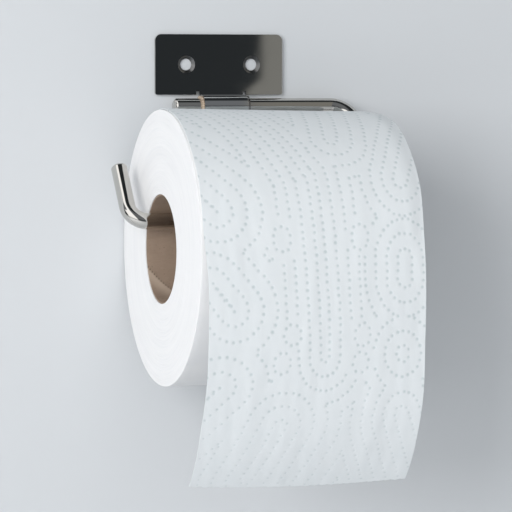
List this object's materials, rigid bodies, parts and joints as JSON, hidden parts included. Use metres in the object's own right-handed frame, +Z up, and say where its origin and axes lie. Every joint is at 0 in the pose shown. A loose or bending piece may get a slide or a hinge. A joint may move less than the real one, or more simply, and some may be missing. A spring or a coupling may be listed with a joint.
{
  "type": "toilet paper holder",
  "caption": "Wall-mounted toilet paper holder: a bent round rod swings in the rolled knuckle of a small polished plate and carries a paper roll.",
  "frame": {"origin": "midway between the two screw holes, on the plate's back face, which lies on the wall", "axes": "+Y into the wall, +X along the hinge towards the rod's bend, +Z up"},
  "size_m": [0.1195, 0.1204, 0.1865],
  "materials": {
    "polished_plate": "polished",
    "polished_rod": "polished",
    "ring_steel": "satin",
    "core_board": "matte",
    "tissue": "matte",
    "printed_tissue": "matte"
  },
  "bodies": {
    "bracket": {"wall_plate": "polished_plate"},
    "arm": {"swing_arm": "polished_rod", "retaining_ring_left": "ring_steel", "retaining_ring_right": "ring_steel"},
    "sheet": {"top_sheet": "printed_tissue", "hanging_sheet": "printed_tissue"},
    "roll": {"core_inner_ply": "core_board", "core_outer_ply": "core_board", "wound_paper": "tissue"}
  },
  "joints": [
    {"name": "arm_swing", "type": "hinge", "parent": "bracket", "child": "arm", "pos_m": [0.0009, -0.00505, -0.0183], "axis": [-1, 0, 0], "range_deg": [0, 100]},
    {"name": "roll_hang", "type": "hinge", "parent": "arm", "child": "sheet", "pos_m": [0.0045, -0.04315, -0.06658], "axis": [-1, 0, 0], "range_deg": [-100, 0]},
    {"name": "roll_spin", "type": "hinge", "parent": "sheet", "child": "roll", "pos_m": [0.0045, -0.0578, -0.07762], "axis": [-1, 0, 0], "continuous": true}
  ],
  "couplings": [
    {"joint": "roll_hang", "follows": "arm_swing", "ratio": -1}
  ]
}
